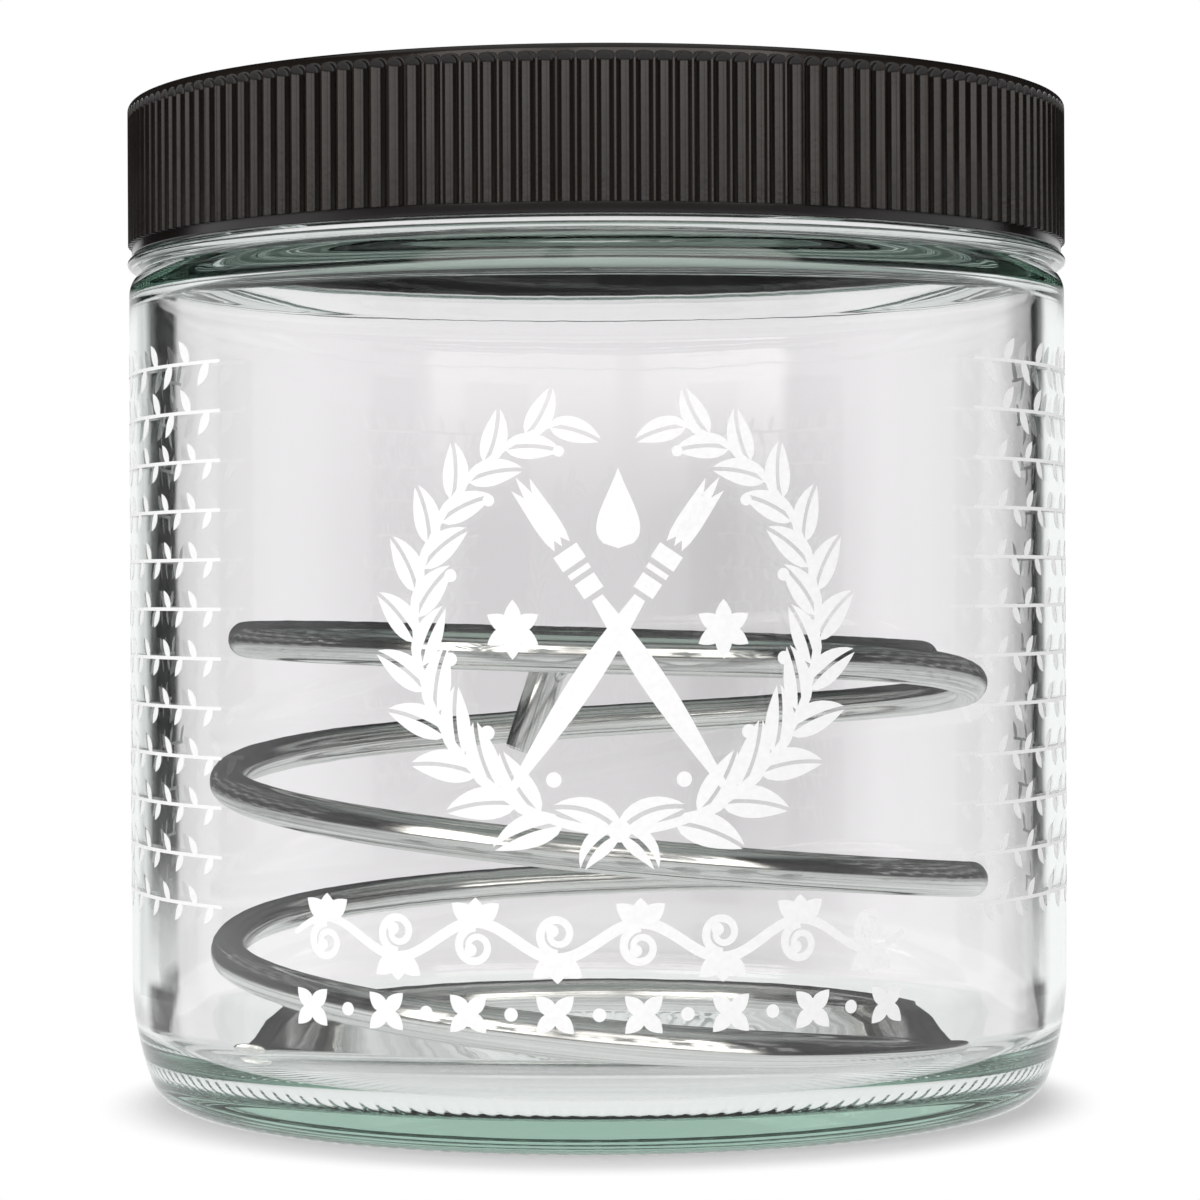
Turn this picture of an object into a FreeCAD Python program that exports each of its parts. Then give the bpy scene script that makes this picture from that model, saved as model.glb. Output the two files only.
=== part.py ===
import FreeCAD, Part
import Sketcher
import math
import os

from FreeCAD import Placement, Rotation, Vector

# Brush cleaning tank: a straight-sided glass jar, a ribbed screw lid with a faced pulp liner, and a loose
# wire coil whose upper turns lie in a flat spiral that brushes are rubbed on.
# Millimetres, +Z up, origin at the centre of the base. The lid turns about Z.

jar_sizes = {
    "jar_diameter": 91.7,
    "jar_height": 94.2,
    "jar_wall": 2.6,
    # Underside: a flat bearing ring round a shallow hollow
    "base_ring_width": 3.0,
    "base_hollow": 1.1,
    # Heel: a tight toe round the ring, then a long taper into the straight wall
    "toe_width": 3.3,
    "toe_height": 2.3,
    "heel_taper": 1.8,
    "heel_height": 12.6,
    # Floor inside, crowned at the middle
    "floor_thickness": 3.6,
    "floor_rise": 0.8,
    "floor_corner_radius": 5.0,
    # Shoulder, groove and transfer bead under the lid
    "shoulder_height": 2.1,
    "groove_inset": 1.15,
    "groove_width": 0.4,
    "bead_stand": 0.15,
    "bead_thickness": 1.0,
    # Neck with its mouth and the throat that widens into the body
    "neck_inset": 3.1,
    "neck_height": 12.3,
    "neck_wall": 2.25,
    "rim_outer_radius": 0.8,
    "rim_inner_radius": 0.7,
    "throat_depth": 13.0,
    "throat_taper_height": 4.0,
    # Continuous thread, right-handed
    "thread_pitch": 5.08,
    "jar_thread_radius": 1.35,
    "jar_thread_turns": 1.25,
    "jar_thread_drop": 9.25,
}

lid_sizes = {
    "thread_clearance": 0.3,
    "lid_gap": 0.3,
    "lid_panel": 1.6,
    "lid_corner_radius": 0.7,
    "lid_skirt_wall": 1.1,
    # Grip ribs, left between hollow flutes, from the smooth top edge to the plain band at the foot
    "rib_count": 170,
    "rib_depth": 0.45,
    "rib_flat_share": 0.1,
    "crown_height": 0.9,
    "band_height": 1.0,
    "band_step": 0.08,
    # Thread inside the skirt, under the jar's
    "lid_thread_radius": 1.05,
    "lid_thread_turns": 1.0,
    "lid_thread_lead_turns": 0.25,
    "thread_bite": 0.24,
}

liner_sizes = {
    "liner_clearance": 0.4,
    "board_thickness": 0.9,
    "facing_thickness": 0.2,
}

coil_sizes = {
    "wire_diameter": 3.4,
    "coil_side_gap": 2.2,
    "coil_floor_gap": 0.4,
    # Foot turn on the floor, drawn in a little
    "foot_turns": 0.47,
    "foot_inset": 2.0,
    "foot_spread_turns": 0.5,
    # Rising turns, up to the plane of the spiral: they lean to one side and sag past the middle
    "rise_turns": 2.2,
    "coil_rise": 38.0,
    "coil_sag": 2.2,
    "coil_lean_degrees": 1.9,
    "lean_turns": 0.6,
    # Flat spiral, wound inwards by whole turns and a part turn to an open eye
    "spiral_start_turns": 2.5,
    "spiral_pitch": 5.09,
    "spiral_part_turn": 0.269,
    "spiral_eye_least": 9.0,
    # Inner end, bent down out of the way of the brush
    "tail_bend_radius": 4.0,
    "tail_length": 7.3,
    "tail_lean_degrees": 16.0,
}

# One overrun serves every cut
cut_sizes = {"cut_overrun": 1.0}

full_turn = 360
ease_share = 0.05
steps_per_turn = 4
least_coil_gap_share = 0.24

doc = FreeCAD.newDocument("brush_cleaning_tank")
sheet = doc.addObject("Spreadsheet::Sheet", "sizes")
all_sizes = {**jar_sizes, **lid_sizes, **liner_sizes, **coil_sizes, **cut_sizes}
for row, (alias, value) in enumerate(all_sizes.items(), start=1):
    sheet.set(f"A{row}", alias)
    sheet.set(f"B{row}", str(value))
    sheet.setAlias(f"B{row}", alias)
doc.recompute()


class Size:
    """A value worked out from the sheet, together with the formula that gives it there."""

    def __init__(self, value, formula):
        self.value = value
        self.formula = formula

    def join(self, sign, other, value):
        return Size(value, f"({self.formula} {sign} {other.formula})")

    def __add__(self, other):
        return self.join("+", other, self.value + other.value)

    def __sub__(self, other):
        return self.join("-", other, self.value - other.value)

    def __mul__(self, other):
        other = plain(other)
        return self.join("*", other, self.value * other.value)

    def __truediv__(self, other):
        other = plain(other)
        return self.join("/", other, self.value / other.value)


def plain(number):
    return number if isinstance(number, Size) else Size(number, str(number))


def size(alias):
    return Size(float(sheet.get(alias)), f"sizes.{alias}")


def arc_radius(run, rise):
    # Radius of an arc that leaves one end square to run and covers run and rise
    return (run * run + rise * rise) / (run * 2)


def bind(feature, **bound):
    for name, amount in bound.items():
        feature.setExpression(name, amount.formula)
    return feature


def place(feature, **bound):
    for axis, amount in bound.items():
        feature.setExpression(f"Placement.Base.{axis}", amount.formula)
    return feature


def origin_plane(body, role):
    return next(plane for plane in body.Origin.OriginFeatures if plane.Role == role)


def sketch_edge(start, end, bend):
    # One edge of an outline and the positions of its start and end in the sketch.
    # bend is None for a line, else (radius, 1) turning left on the way to the end or (radius, -1) right.
    if bend is None:
        return Part.LineSegment(start, end), 1, 2
    radius, side = bend
    chord = end - start
    height = math.sqrt(max(radius.value ** 2 - chord.Length ** 2 / 4, 0))
    left = Vector(-chord.y, chord.x, 0).normalize()
    centre = (start + end) / 2 + left * height * side
    first, last = (start, end) if side > 0 else (end, start)
    first_angle = math.atan2(first.y - centre.y, first.x - centre.x)
    last_angle = math.atan2(last.y - centre.y, last.x - centre.x)
    circle = Part.Circle(centre, Vector(0, 0, 1), radius.value)
    arc = Part.ArcOfCircle(circle, first_angle, last_angle)
    return (arc, 1, 2) if side > 0 else (arc, 2, 1)


def hold_point(sketch, edge, end, across, up):
    # Ties one corner to its formulas; None keeps it on the axis of the sketch
    for kind, axis, amount in (("DistanceX", -2, across), ("DistanceY", -1, up)):
        if amount is None:
            sketch.addConstraint(Sketcher.Constraint("PointOnObject", edge, end, axis))
        else:
            row = sketch.addConstraint(Sketcher.Constraint(kind, -1, 1, edge, end, amount.value))
            sketch.setExpression(f"Constraints[{row}]", amount.formula)


def turned_body(name, outline):
    # A body turned about Z from (radius, level, bend of the edge to the next corner)
    body = doc.addObject("PartDesign::Body", name)
    sketch = body.newObject("Sketcher::SketchObject", f"{name}_section")
    sketch.AttachmentSupport = [(origin_plane(body, "XZ_Plane"), "")]
    sketch.MapMode = "FlatFace"
    corners = [Vector(r.value if r else 0, z.value if z else 0, 0) for r, z, _ in outline]
    ends = []
    for index, (across, up, bend) in enumerate(outline):
        edge, first, last = sketch_edge(corners[index], corners[(index + 1) % len(corners)], bend)
        number = sketch.addGeometry(edge)
        if ends:
            sketch.addConstraint(Sketcher.Constraint("Coincident", *ends[-1][2:], number, first))
        hold_point(sketch, number, first, across, up)
        if bend:
            row = sketch.addConstraint(Sketcher.Constraint("Radius", number, bend[0].value))
            sketch.setExpression(f"Constraints[{row}]", bend[0].formula)
        ends.append((number, first, number, last))
    sketch.addConstraint(Sketcher.Constraint("Coincident", *ends[-1][2:], *ends[0][:2]))
    turned = body.newObject("PartDesign::Revolution", f"{name}_turned")
    turned.Profile = sketch
    turned.ReferenceAxis = (sketch, ["V_Axis"])
    turned.Angle = full_turn
    body.Tip = turned
    return body


def cylinder(name, radius, height, foot):
    solid = doc.addObject("Part::Cylinder", name)
    bind(solid, Radius=radius, Height=height)
    return place(solid, z=foot)


def thread(name, radius, ridge, foot, turns, lead):
    # A round ridge on a helix, with domed ends: radius is the wall's, lead the turn where it starts
    helix = doc.addObject("Part::Helix", f"{name}_helix")
    bind(helix, Pitch=size("thread_pitch"), Height=size("thread_pitch") * turns, Radius=radius)
    section = doc.addObject("Part::Circle", f"{name}_section")
    section.Placement = Placement(Vector(), Rotation(Vector(1, 0, 0), full_turn / 4))
    bind(section, Radius=ridge)
    place(section, x=radius)
    ridge_sweep = doc.addObject("Part::Sweep", f"{name}_ridge")
    ridge_sweep.Sections = [section]
    ridge_sweep.Spine = (helix, [])
    ridge_sweep.Solid = True
    ridge_sweep.Frenet = True
    bind(ridge_sweep, **{"Placement.Rotation.Angle": lead * full_turn})
    ridge_sweep.Placement.Rotation.Axis = Vector(0, 0, 1)
    place(ridge_sweep, z=foot)
    domes = []
    head = foot + size("thread_pitch") * turns
    for end, turn, level in (("foot", lead, foot), ("head", lead + turns, head)):
        dome = doc.addObject("Part::Sphere", f"{name}_{end}")
        bind(dome, Radius=ridge)
        angle = (turn * full_turn).formula
        dome.setExpression("Placement.Base.x", f"{radius.formula} * cos({angle})")
        dome.setExpression("Placement.Base.y", f"{radius.formula} * sin({angle})")
        place(dome, z=level)
        domes.append(dome)
    return [ridge_sweep, *domes]


def fused(label, shapes):
    whole = doc.addObject("Part::MultiFuse", label)
    whole.Shapes = shapes
    return whole


# Radii and levels that the pieces share
jar_radius = size("jar_diameter") / 2
inner_radius = jar_radius - size("jar_wall")
neck_radius = jar_radius - size("neck_inset")
mouth_radius = neck_radius - size("neck_wall")
rim_level = size("jar_height")
bead_top = rim_level - size("neck_height")
thread_foot = rim_level - size("jar_thread_drop")
facing_top = rim_level + size("facing_thickness")
board_top = facing_top + size("board_thickness")
lid_top = board_top + size("lid_panel")
lid_foot = bead_top + size("lid_gap")
skirt_radius = neck_radius + size("jar_thread_radius") + size("thread_clearance")
liner_radius = skirt_radius - size("liner_clearance")
floor_radius = inner_radius - size("floor_corner_radius")
floor_bend = arc_radius(size("floor_rise"), floor_radius)


def glass_jar():
    toe_radius = jar_radius - size("heel_taper")
    ring_outer = toe_radius - size("toe_width")
    ring_inner = ring_outer - size("base_ring_width")
    heel_rise = size("heel_height") - size("toe_height")
    bead_radius = jar_radius + size("bead_stand")
    bead_round = size("bead_thickness") / 2
    bead_foot = bead_top - size("bead_thickness")
    groove_radius = jar_radius - size("groove_inset")
    shoulder_top = bead_foot - size("groove_width")
    shoulder_foot = shoulder_top - size("shoulder_height")
    throat_top = rim_level - size("throat_depth")
    throat_run = (inner_radius - mouth_radius) / 2
    throat_rise = size("throat_taper_height") / 2
    throat_bend = arc_radius(throat_run, throat_rise)
    floor_level = size("floor_thickness")
    floor_corner = size("floor_corner_radius")
    outline = [
        (None, size("base_hollow"), (arc_radius(size("base_hollow"), ring_inner), -1)),
        (ring_inner, None, None),
        (ring_outer, None, (arc_radius(size("toe_height"), size("toe_width")), 1)),
        (toe_radius, size("toe_height"), (arc_radius(size("heel_taper"), heel_rise), 1)),
        (jar_radius, size("heel_height"), None),
        (jar_radius, shoulder_foot, (arc_radius(size("groove_inset"), size("shoulder_height")), 1)),
        (groove_radius, shoulder_top, None),
        (groove_radius, bead_foot, None),
        (bead_radius - bead_round, bead_foot, (bead_round, 1)),
        (bead_radius, bead_foot + bead_round, (bead_round, 1)),
        (bead_radius - bead_round, bead_top, None),
        (neck_radius, bead_top, None),
        (neck_radius, rim_level - size("rim_outer_radius"), (size("rim_outer_radius"), 1)),
        (neck_radius - size("rim_outer_radius"), rim_level, None),
        (mouth_radius + size("rim_inner_radius"), rim_level, (size("rim_inner_radius"), 1)),
        (mouth_radius, rim_level - size("rim_inner_radius"), None),
        (mouth_radius, throat_top, (throat_bend, 1)),
        (mouth_radius + throat_run, throat_top - throat_rise, (throat_bend, -1)),
        (inner_radius, throat_top - size("throat_taper_height"), None),
        (inner_radius, floor_level + floor_corner, (floor_corner, -1)),
        (floor_radius, floor_level, (floor_bend, 1)),
        (None, floor_level + size("floor_rise"), None),
    ]
    shell = turned_body("jar_shell", outline)
    start = Size(0, "0")
    ridge = thread(
        "jar_thread", neck_radius, size("jar_thread_radius"), thread_foot, size("jar_thread_turns"), start
    )
    return fused("glass_jar", [shell, *ridge])


def fluted_prism(name, crest_radius, valley_radius, foot, top):
    # A prism whose outline is one hollow arc for each flute, with a narrow flat crest on each rib between them
    count = int(size("rib_count").value)
    half_step = math.pi / count
    half_flute = 1 - size("rib_flat_share").value

    def on_circle(radius, half_steps):
        angle = half_steps * half_step
        return Vector(radius.value * math.cos(angle), radius.value * math.sin(angle), foot.value)

    edges = []
    for flute in range(count):
        start = on_circle(crest_radius, 2 * flute - half_flute)
        hollow = on_circle(valley_radius, 2 * flute)
        end = on_circle(crest_radius, 2 * flute + half_flute)
        after = on_circle(crest_radius, 2 * flute + 2 - half_flute)
        edges += [Part.Arc(start, hollow, end).toShape(), Part.LineSegment(end, after).toShape()]
    prism = doc.addObject("Part::Feature", name)
    prism.Shape = Part.Face(Part.Wire(edges)).extrude(Vector(0, 0, top.value - foot.value))
    return prism


def screw_lid():
    valley_radius = skirt_radius + size("lid_skirt_wall")
    crest_radius = valley_radius + size("rib_depth")
    band_top = lid_foot + size("band_height")
    rib_top = lid_top - size("crown_height")
    overrun = size("cut_overrun")
    corner = size("lid_corner_radius")
    crown = turned_body("lid_crown", [
        (None, rib_top, None),
        (crest_radius, rib_top, None),
        (crest_radius, lid_top - corner, (corner, 1)),
        (crest_radius - corner, lid_top, None),
        (None, lid_top, None),
    ])
    ribbed = fluted_prism("lid_ribs", crest_radius, valley_radius, band_top, rib_top)
    band = cylinder("lid_band", valley_radius + size("band_step"), size("band_height"), lid_foot)
    hollow = cylinder("lid_hollow", skirt_radius, board_top - lid_foot + overrun, lid_foot - overrun)
    cap = doc.addObject("Part::Cut", "lid_cap")
    cap.Base = fused("lid_block", [ribbed, crown, band])
    cap.Tool = hollow
    # The ridge follows the jar's helix, below it by half a pitch less the bite that draws the lid down
    lead = size("lid_thread_lead_turns")
    drop = size("thread_pitch") / 2 - size("thread_bite")
    foot = thread_foot - drop + size("thread_pitch") * lead
    ridge = thread(
        "lid_thread", skirt_radius, size("lid_thread_radius"), foot, size("lid_thread_turns"), lead
    )
    return fused("screw_lid", [cap, *ridge])


def eased(share):
    # Runs from 0 to 1 at a steady rate, with a soft start and a soft stop
    if share <= 0:
        return 0.0
    if share >= 1:
        return 1.0
    steady = 1 - ease_share
    if share < ease_share:
        return share ** 2 / (2 * ease_share * steady)
    if share > steady:
        return 1 - (1 - share) ** 2 / (2 * ease_share * steady)
    return (share - ease_share / 2) / steady


# The wire and the turns that it makes
wire_radius = size("wire_diameter").value / 2
coil_radius = mouth_radius.value - size("coil_side_gap").value - wire_radius
spiral_pitch = size("spiral_pitch").value
spiral_part = size("spiral_part_turn").value
spiral_room = coil_radius - size("spiral_eye_least").value
spiral_turns = math.floor(spiral_room / spiral_pitch - spiral_part) + spiral_part
coil_turns = size("spiral_start_turns").value + spiral_turns


def coil_centre(turn):
    # Centre line of the wire, counted in turns from its cut end at the left of the floor, left-handed
    value = {alias: size(alias).value for alias in coil_sizes}
    foot_radius = coil_radius - value["foot_inset"]
    floor_crown = math.sqrt(floor_bend.value ** 2 - foot_radius ** 2) - floor_bend.value
    floor_level = size("floor_thickness").value + size("floor_rise").value + floor_crown
    foot_level = floor_level + value["coil_floor_gap"] + wire_radius
    past_foot = turn - value["foot_turns"]
    spread = eased(past_foot / value["foot_spread_turns"])
    rise = eased(past_foot / value["rise_turns"])
    lean = eased(past_foot / value["lean_turns"]) * math.tan(math.radians(value["coil_lean_degrees"]))
    inward = eased((turn - value["spiral_start_turns"]) / spiral_turns)
    radius = foot_radius + value["foot_inset"] * spread - spiral_pitch * spiral_turns * inward
    angle = math.pi - 2 * math.pi * turn
    across = radius * math.cos(angle)
    sag = value["coil_sag"] * math.sin(math.pi * rise ** 2)
    level = foot_level + value["coil_rise"] * rise - sag - across * lean
    return Vector(across, radius * math.sin(angle), level)


def coil_heading(turn):
    nudge_share = 1e-4
    return (coil_centre(turn + nudge_share) - coil_centre(turn - nudge_share)).normalize()


def arc_edge(start, apex, end):
    # The arc from start to end whose end tangents meet at apex
    middle = (start + end) / 2
    half_chord = (end - start).Length / 2
    height = (apex - middle).Length
    bulge = half_chord * math.tan(math.atan2(height, half_chord) / 2)
    return Part.Arc(start, middle + (apex - middle) / height * bulge, end).toShape()


def biarc(start, start_heading, end, end_heading):
    # Two arcs that join two points and keep the heading at each
    gap = end - start
    along = gap.dot(start_heading + end_heading)
    turning = 2 * (1 - start_heading.dot(end_heading))
    reach = (math.sqrt(along ** 2 + turning * gap.dot(gap)) - along) / turning
    first_apex = start + start_heading * reach
    last_apex = end - end_heading * reach
    meeting = (first_apex + last_apex) / 2
    return [arc_edge(start, first_apex, meeting), arc_edge(meeting, last_apex, end)]


def tail_edges(start, heading):
    # The inner end of the wire: a bend downwards and a short straight leg
    bend_radius = size("tail_bend_radius").value
    turn = math.radians(full_turn / 4 - size("tail_lean_degrees").value)
    down = (heading * heading.z - Vector(0, 0, 1)).normalize()

    def on_bend(angle):
        return start + (heading * math.sin(angle) + down * (1 - math.cos(angle))) * bend_radius

    bend_end = on_bend(turn)
    leg = heading * math.cos(turn) + down * math.sin(turn)
    return [
        Part.Arc(start, on_bend(turn / 2), bend_end).toShape(),
        Part.LineSegment(bend_end, bend_end + leg * size("tail_length").value).toShape(),
    ]


def least_self_gap(spine):
    # Least clear distance between stretches of the wire that are not neighbours along it
    points = spine.discretize(Distance=wire_radius)
    skip = 3 * steps_per_turn
    least = min(
        point.distanceToPoint(other)
        for index, point in enumerate(points)
        for other in points[index + skip:]
    )
    return least - 2 * wire_radius


def wire_coil():
    steps = math.ceil(coil_turns * steps_per_turn)
    turns = [coil_turns * step / steps for step in range(steps + 1)]
    edges = []
    for first, last in zip(turns, turns[1:]):
        edges += biarc(coil_centre(first), coil_heading(first), coil_centre(last), coil_heading(last))
    edges += tail_edges(coil_centre(coil_turns), coil_heading(coil_turns))
    spine = Part.Wire(edges)
    section = Part.Circle(coil_centre(0), coil_heading(0), wire_radius)
    tube = Part.BRepOffsetAPI.MakePipeShell(spine)
    tube.add(Part.Wire(section.toShape()))
    tube.build()
    tube.makeSolid()
    coil = doc.addObject("Part::Feature", "wire_coil")
    coil.Shape = tube.shape()
    coil.Placement = Placement()
    share = coil.Shape.Volume / (math.pi * wire_radius ** 2 * spine.Length)
    gap = least_self_gap(spine)
    print(f"wire {spine.Length:.0f} mm long, volume {share:.4f} of section times length")
    print(f"least gap of the wire to itself {gap:.2f} mm")
    if gap < least_coil_gap_share * wire_radius:
        raise ValueError("the turns of the wire are too close to each other")
    return coil


nodes = [
    glass_jar(),
    screw_lid(),
    cylinder("liner_board", liner_radius, size("board_thickness"), facing_top),
    cylinder("liner_facing", liner_radius, size("facing_thickness"), rim_level),
    wire_coil(),
]
doc.recompute()

failed = [item.Label for item in doc.Objects if {"Invalid", "Error"} & set(item.State)]
if failed:
    raise RuntimeError(f"these objects failed: {failed}")

os.makedirs("parts", exist_ok=True)
for node in nodes:
    if node.Shape.isNull() or not node.Shape.isValid() or len(node.Shape.Solids) != 1:
        raise RuntimeError(f"{node.Label} is not one valid solid")
    node.Shape.exportStep(f"parts/{node.Label}.step")
    print(f"{node.Label}: {node.Shape.Volume:.1f} mm3")
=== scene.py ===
import math

import bmesh
import bpy
from mathutils import Matrix, Vector


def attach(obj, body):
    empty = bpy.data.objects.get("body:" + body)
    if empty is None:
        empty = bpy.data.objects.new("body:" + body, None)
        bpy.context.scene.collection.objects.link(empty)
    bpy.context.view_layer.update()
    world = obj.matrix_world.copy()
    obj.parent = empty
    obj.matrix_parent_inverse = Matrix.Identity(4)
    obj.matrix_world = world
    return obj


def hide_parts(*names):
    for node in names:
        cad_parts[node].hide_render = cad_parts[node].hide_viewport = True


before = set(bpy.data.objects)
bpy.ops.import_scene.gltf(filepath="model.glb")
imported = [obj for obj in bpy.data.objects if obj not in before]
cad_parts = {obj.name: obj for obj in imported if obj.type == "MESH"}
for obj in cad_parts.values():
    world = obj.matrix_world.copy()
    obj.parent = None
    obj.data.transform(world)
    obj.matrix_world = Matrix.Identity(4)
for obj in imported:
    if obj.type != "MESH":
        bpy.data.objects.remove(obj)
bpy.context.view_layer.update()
print("frame loaded:", ", ".join(sorted(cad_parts)))

# Sizes are in millimetres and become metres where a mesh is made
mm = 0.001
mergeDistance = 0.002 * mm
guardRing = 0.3  # a short ring at the end of a long run keeps a bend from tilting its shading
scene = bpy.context.scene
scene.view_settings.view_transform = "Standard"
scene.cycles.max_bounces = 24  # light turns many times inside thick glass
scene.cycles.glossy_bounces = 16


def linearColour(code):
    # sRGB hex to the linear colour that a socket takes
    shades = [int(code[at:at + 2], 16) / 255 for at in (1, 3, 5)]
    return [s / 12.92 if s <= 0.04045 else ((s + 0.055) / 1.055) ** 2.4 for s in shades] + [1]


def addNode(tree, kind, settings):
    # A string key that is a property is set, any other key is a socket to fill or to link;
    # the node's outputs come back
    node = tree.nodes.new("ShaderNode" + kind)
    for key, value in settings.items():
        if key == "stops":
            ramp = node.color_ramp.elements
            while len(ramp) < len(value):
                ramp.new(1)
            for stop, (place, shade) in zip(ramp, value):
                stop.position = place
                stop.color = linearColour(shade) if isinstance(shade, str) else [shade] * 3 + [1]
        elif isinstance(key, str) and hasattr(node, key):
            setattr(node, key, value)
        elif isinstance(value, bpy.types.NodeSocket):
            tree.links.new(value, node.inputs[key])
        else:
            node.inputs[key].default_value = value
    return node.outputs


def newMaterial(name):
    material = bpy.data.materials.new(name)
    material.use_nodes = True
    material.node_tree.nodes.clear()
    return material, material.node_tree


def finishMaterial(tree, height, depth, settings, inside=None):
    # Every material of the object ends in a relief, a surface and an output
    bump = addNode(tree, "Bump", {"Strength": 1, "Distance": depth * mm, "Height": height})
    surface = addNode(tree, "BsdfPrincipled", {**settings, "Normal": bump["Normal"]})
    addNode(tree, "OutputMaterial", {"Surface": surface["BSDF"], **(inside or {})})


def finishPiece(bm, name, material, body, sharpDegrees, node=None):
    # Closes the seams, turns the faces outwards and hangs the piece on its body
    bmesh.ops.remove_doubles(bm, verts=bm.verts, dist=mergeDistance)
    bmesh.ops.recalc_face_normals(bm, faces=bm.faces)
    openEdges = sum(1 for edge in bm.edges if len(edge.link_faces) != 2)
    triangles = sum(len(face.verts) - 2 for face in bm.faces)
    mesh = bpy.data.meshes.new(name)
    bm.to_mesh(mesh)
    bm.free()
    mesh.shade_smooth()
    mesh.set_sharp_from_angle(angle=math.radians(sharpDegrees))
    mesh.materials.append(material)
    piece = bpy.data.objects.new(name, mesh)
    scene.collection.objects.link(piece)
    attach(piece, body)
    if node:
        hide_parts(node)
    print(f"{name}: {triangles} triangles, {openEdges} open edges")
    return piece


def bendRadius(run, rise):
    # Radius of an arc that leaves one end square to run and covers run and rise
    return (run * run + rise * rise) / (2 * run)


def drawSection(bm, start, moves):
    # Draws half a section in the XZ plane. A move is (radius, level, steps) for a line, and
    # (radius, level, steps, bend) for an arc, where a bend over 0 turns left on the way
    at = bm.verts.new((start[0] * mm, 0, start[1] * mm))
    for across, up, steps, *bend in moves:
        end = Vector((across * mm, 0, up * mm))
        chord = end - at.co
        if bend:
            radius = abs(bend[0]) * mm
            side = math.copysign(1, bend[0])
            height = math.sqrt(max(radius ** 2 - chord.length_squared / 4, 0))
            left = Vector((-chord.z, 0, chord.x)).normalized()
            centre = (at.co + end) / 2 + left * height * side
            angle = 2 * math.asin(min(chord.length / 2 / radius, 1)) * side
            turned = bmesh.ops.spin(
                bm, geom=[at], cent=centre, axis=(0, -1, 0), angle=angle, steps=steps
            )
            at = turned["geom_last"][0]
            at.co = end
        else:
            for _ in range(steps):
                at = bmesh.ops.extrude_vert_indiv(bm, verts=[at])["verts"][0]
                at.co += chord / steps


def turnSector(bm, sectors, steps):
    # Spins the section through one sector, which copySector then repeats all the way round
    bmesh.ops.spin(
        bm, geom=bm.verts[:] + bm.edges[:], cent=(0, 0, 0), axis=(0, 0, 1),
        angle=2 * math.pi / sectors, steps=steps,
    )


def copySector(bm, sectors):
    bmesh.ops.spin(
        bm, geom=bm.verts[:] + bm.edges[:] + bm.faces[:], cent=(0, 0, 0), axis=(0, 0, 1),
        angle=2 * math.pi * (sectors - 1) / sectors, steps=sectors - 1, use_duplicate=True,
    )
    bmesh.ops.remove_doubles(bm, verts=bm.verts, dist=mergeDistance)


def setRadius(vert, radius):
    flat = Vector((vert.co.x, vert.co.y)).normalized() * radius * mm
    vert.co.x = flat.x
    vert.co.y = flat.y


# Soda-lime glass, blown in a mould: clear, faintly wavy, green where the eye looks along the wall
jarGlass, tree = newMaterial("sodaLimeGlass")
coords = addNode(tree, "TexCoord", {})
waveSizes = {"wave": 14, "ripple": 4, "waveDepth": 0.02, "rippleShare": 0.18}
wave = addNode(tree, "TexNoise", {
    "Vector": coords["Object"], "Scale": 1 / (waveSizes["wave"] * mm), "Detail": 1,
})
ripple = addNode(tree, "TexNoise", {
    "Vector": coords["Object"], "Scale": 1 / (waveSizes["ripple"] * mm), "Detail": 2,
})
relief = addNode(tree, "Math", {
    "operation": "MULTIPLY_ADD", 0: ripple["Fac"], 1: waveSizes["rippleShare"], 2: wave["Fac"],
})
tint = addNode(tree, "VolumeAbsorption", {"Color": linearColour("#cfe2da"), "Density": 36})
finishMaterial(tree, relief[0], waveSizes["waveDepth"], {
    "Base Color": linearColour("#ffffff"), "Roughness": 0, "IOR": 1.52, "Transmission Weight": 1,
}, inside={"Volume": tint["Volume"]})

jar = {
    "radius": 45.85, "height": 94.2, "wall": 2.6,
    "ringInner": 37.75, "ringOuter": 40.75, "hollow": 1.1,
    "toeRadius": 44.05, "toeHeight": 2.3, "heelHeight": 12.6,
    "floor": 3.6, "floorRise": 0.8, "floorCorner": 5,
    "shoulderFoot": 78.4, "shoulderTop": 80.5, "grooveRadius": 44.7,
    "beadFoot": 80.9, "beadTop": 81.9, "beadRadius": 46, "beadRound": 0.5,
    "neckRadius": 42.75, "neckStep": 0.26, "mouthRadius": 40.5, "rimOuter": 0.8, "rimInner": 0.7,
    "throatTop": 81.2, "throatHeight": 4,
    "threadPitch": 5.08, "threadFoot": 84.95, "threadTurns": 1.25, "threadRadius": 1.35,
    "gripCount": 150, "gripStart": 37, "gripEnd": 42.2, "gripDepth": 0.3,
    "columnsPerGrip": 4, "sectors": 15,
}
jar["inner"] = jar["radius"] - jar["wall"]


def heelRadius():
    return bendRadius(jar["radius"] - jar["toeRadius"], jar["heelHeight"] - jar["toeHeight"])


def jarOuterRadius(level):
    # Outside of the straight wall and of the long taper under it
    drop = max(jar["heelHeight"] - level, 0)
    return jar["radius"] - heelRadius() + math.sqrt(heelRadius() ** 2 - drop ** 2)


def jarThreadRise(turn, level):
    # Height of the half-round thread above the neck, with domed ends
    best = 0
    for lap in range(2):
        place = turn + lap
        past = max(-place, place - jar["threadTurns"], 0) * 2 * math.pi * jar["neckRadius"]
        off = level - jar["threadFoot"] - jar["threadPitch"] * place
        best = max(best, jar["threadRadius"] ** 2 - past ** 2 - off ** 2)
    return math.sqrt(best)


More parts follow.
